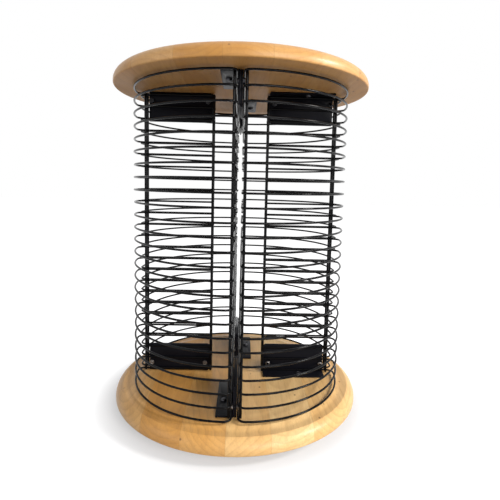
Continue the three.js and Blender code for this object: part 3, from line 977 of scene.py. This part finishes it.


# Clamp bolts. Sixteen small pan heads with a crossed slot, through the angle and the plate
# of neighbouring racks, with a chamfered hexagon nut on the plate's side. The bolts at the
# foot are bare zinc; those at the head are coloured near black, a painted shade under the top disc.
def cut_mesh(name, block, changes):
    """Cuts or keeps closed forms with booleans, and leaves one plain mesh."""
    for how, tool in changes:
        modifier = block.modifiers.new(how.lower(), "BOOLEAN")
        modifier.operation = how
        modifier.solver = "EXACT"
        modifier.object = tool
    mesh = applied_mesh(name, block)
    for item in [block] + [tool for how, tool in changes]:
        bpy.data.objects.remove(item)
    return mesh


def crossed_slot(length, width, bottom, top):
    """The cutter for a crossed slot: two bars, shorter at the bottom of the slot."""
    bottom_share = 0.45
    bars = []
    for crossing in (False, True):
        form = bmesh.new()
        rings = []
        for height, share in ((bottom, bottom_share), (top, 1.0)):
            x, y = length / 2 * share, width / 2
            if crossing:
                x, y = y, x
            rings.append([form.verts.new((out * x, up * y, height)) for out, up in square_corners])
        form.faces.new(rings[0])
        form.faces.new(rings[1])
        for one in range(4):
            other = (one + 1) % 4
            form.faces.new([rings[0][one], rings[0][other], rings[1][other], rings[1][one]])
        bmesh.ops.recalc_face_normals(form, faces=form.faces[:])
        bars.append(in_scene("slot_bar", mesh_of("slot_bar", form)))
    return bars


def pan_head(name, seat, radius, height, rim, rounding, slot):
    """A pan head: a straight rim on its seat, a rounded top and a crossed slot."""
    slot_length, slot_width, slot_depth = slot
    overshoot = 0.0004
    top = seat + height
    outline = [(0, seat), (radius, seat), (radius, seat + rim)]
    outline += arc_points((radius - rounding, seat + rim), (rounding, height - rim), 0, 90, 8)[1:]
    head = turned(name, outline + [(0, top)], sides=32)
    bars = crossed_slot(slot_length, slot_width, top - slot_depth, top + overshoot)
    return cut_mesh(name, head, [("DIFFERENCE", bar) for bar in bars])


def joined_start(name, meshes, place):
    """Joins plain meshes in one start mesh, turned and moved to its place."""
    form = bmesh.new()
    for mesh in meshes:
        form.from_mesh(mesh)
    start = mesh_of(name, form)
    start.transform(place)
    return start


plate_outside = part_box("back_right_lower_plate")[1].y
overlap = 0.0003
head_mesh = pan_head(
    "head", plate_outside, radius=0.0032, height=0.0022, rim=0.0007, rounding=0.0017,
    slot=(0.0042, 0.0019, 0.0019),
)
nut_height = 0.0024
nut_radius = 0.0031
nut_chamfer = 0.0004
nut_end = -plate_outside - nut_height
shank_radius = 0.0015
shank_recess = 0.0005
shank_end = nut_end + shank_recess
shank_mesh = turned_mesh("shank", [
    (0, shank_end), (shank_radius - overlap, shank_end), (shank_radius, shank_end + overlap),
    (shank_radius, plate_outside + overlap), (0, plate_outside + overlap),
], sides=24)
nut_flats = turned("nut", [
    (0, nut_end), (nut_radius, nut_end), (nut_radius, -plate_outside), (0, -plate_outside),
], sides=6)
nut_face_radius = nut_radius * 0.84
barrel_radius = nut_radius * 1.02
nut_barrel = turned("nut_barrel", [
    (0, nut_end), (nut_face_radius, nut_end), (barrel_radius, nut_end + nut_chamfer),
    (barrel_radius, 0), (0, 0),
], sides=48)
bore_radius = shank_radius * 1.03
bore_mouth = shank_radius * 1.3
bore_overshoot = 0.001
bore_end = nut_end - bore_overshoot
nut_bore = turned("nut_bore", [
    (0, bore_end), (bore_mouth, bore_end), (bore_mouth, nut_end),
    (bore_radius, nut_end + nut_chamfer), (bore_radius, 0), (0, 0),
], sides=32)
nut_mesh = cut_mesh("nut", nut_flats, [("INTERSECT", nut_barrel), ("DIFFERENCE", nut_bore)])

fastener_tree, fastener_given, fastener_wanted = geometry_tree("fasteners_on_four_arms", [
    ("Arm Count", "Int", 4), ("Reach Count", "Int", 1), ("Reach Step", "Float", 0.0),
])
reach_step = out_of(fastener_tree, "ShaderNodeCombineXYZ", {"X": fastener_given["Reach Step"]})
reach_line = out_of(fastener_tree, "GeometryNodeMeshLine", {
    "Count": fastener_given["Reach Count"], "Offset": reach_step,
}, mode="OFFSET")
reach_row = out_of(fastener_tree, "GeometryNodeInstanceOnPoints", {
    "Points": reach_line, "Instance": fastener_given["Geometry"],
})
arm_points = out_of(fastener_tree, "GeometryNodeMeshLine", {
    "Count": fastener_given["Arm Count"], "Offset": (0, 0, 0),
}, mode="OFFSET")
arm_index = out_of(fastener_tree, "GeometryNodeInputIndex")
arm_spacing = math_of(fastener_tree, "DIVIDE", 2 * math.pi, fastener_given["Arm Count"])
arm_angle = math_of(fastener_tree, "MULTIPLY", arm_index, arm_spacing)
arm_turn = out_of(fastener_tree, "ShaderNodeCombineXYZ", {"Z": arm_angle})
arm_copies = out_of(fastener_tree, "GeometryNodeInstanceOnPoints", {
    "Points": arm_points, "Instance": reach_row, "Rotation": arm_turn,
})
close_tree(fastener_tree, fastener_given, fastener_wanted, [arm_copies])

bolt_steels = {
    "lower": plated_steel("bolt_zinc", (0.25, 0.23, 0.22, 1), 0.28),
    # The near black of the bolts at the head is painted shade.
    "upper": plated_steel("bolt_painted_shade", (0.05, 0.05, 0.055, 1), 0.36),
}
slot_angle = math.radians(20)
across_arm = Matrix.Rotation(quarter, 4, "X") @ Matrix.Rotation(slot_angle, 4, "Z")
for end, bolt_steel in bolt_steels.items():
    bolt_low, bolt_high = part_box(f"back_right_{end}_inner_bolt")
    bolt_place = Matrix.Translation((bolt_reaches[0], 0, (bolt_low.z + bolt_high.z) / 2))
    bolt_start = joined_start("bolt_start", [head_mesh, shank_mesh, nut_mesh], bolt_place @ across_arm)
    bolts = grown(f"{end}_clamp_bolts", bolt_start, fastener_tree, {
        "Reach Count": len(bolt_reaches), "Reach Step": bolt_reaches[1] - bolt_reaches[0],
        "Material": bolt_steel,
    })
    bolt_nodes = [f"{rack}_{end}_{side}_bolt" for rack in rack_names for side in ("inner", "outer")]
    finish_piece(bolts, bolt_steel, "tower", bolt_nodes)


# Wood screws. One blackened pan head holds each flange to a disc; its thread is in the
# wood. The heads at the foot look up, and the heads under the top disc look down.
screw_steel = plated_steel("screw_blacking", (0.09, 0.09, 0.10, 1), 0.34)
screw_mesh = pan_head(
    "screw", flange_sheet, radius=0.0034, height=0.0021, rim=0.0006, rounding=0.0020,
    slot=(0.0038, 0.0008, 0.0013),
)
stem_radius = 0.0015
stem_top = flange_sheet + overlap
stem_profile = [(0, 0), (stem_radius, 0), (stem_radius, stem_top), (0, stem_top)]
stem_mesh = turned_mesh("stem", stem_profile, sides=24)
for end, inward in rack_ends:
    low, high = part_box(f"front_right_{end}_bracket")
    facing = Matrix.Rotation(0 if inward > 0 else math.pi, 4, "X")
    screw_place = Matrix.Translation((screw_reach, high.y - screw_offset, low.z if inward > 0 else high.z))
    screw_start = joined_start("screw_start", [screw_mesh, stem_mesh], screw_place @ facing)
    screws = grown(f"{end}_flange_screws", screw_start, fastener_tree, {"Material": screw_steel})
    finish_piece(screws, screw_steel, "tower")


# Top disc. The same turned piece as the base, with its moulded side up as well; its flat
# underside lies on the heads of the racks.
top_low, top_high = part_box("top_disc")
# The top's boards are given darker tones than the base's.
top_wood = lacquered_wood(
    "top_boards", board_shift=0.017, middle_height=(top_low.z + top_high.z) / 2, seed=1320.0,
    pale=(0.70, 0.435, 0.185, 1), golden=(0.56, 0.275, 0.072, 1),
)
top_disc = turned_disc("turned_top", top_low, top_high)
finish_piece(top_disc, top_wood, "tower", ["top_disc"])
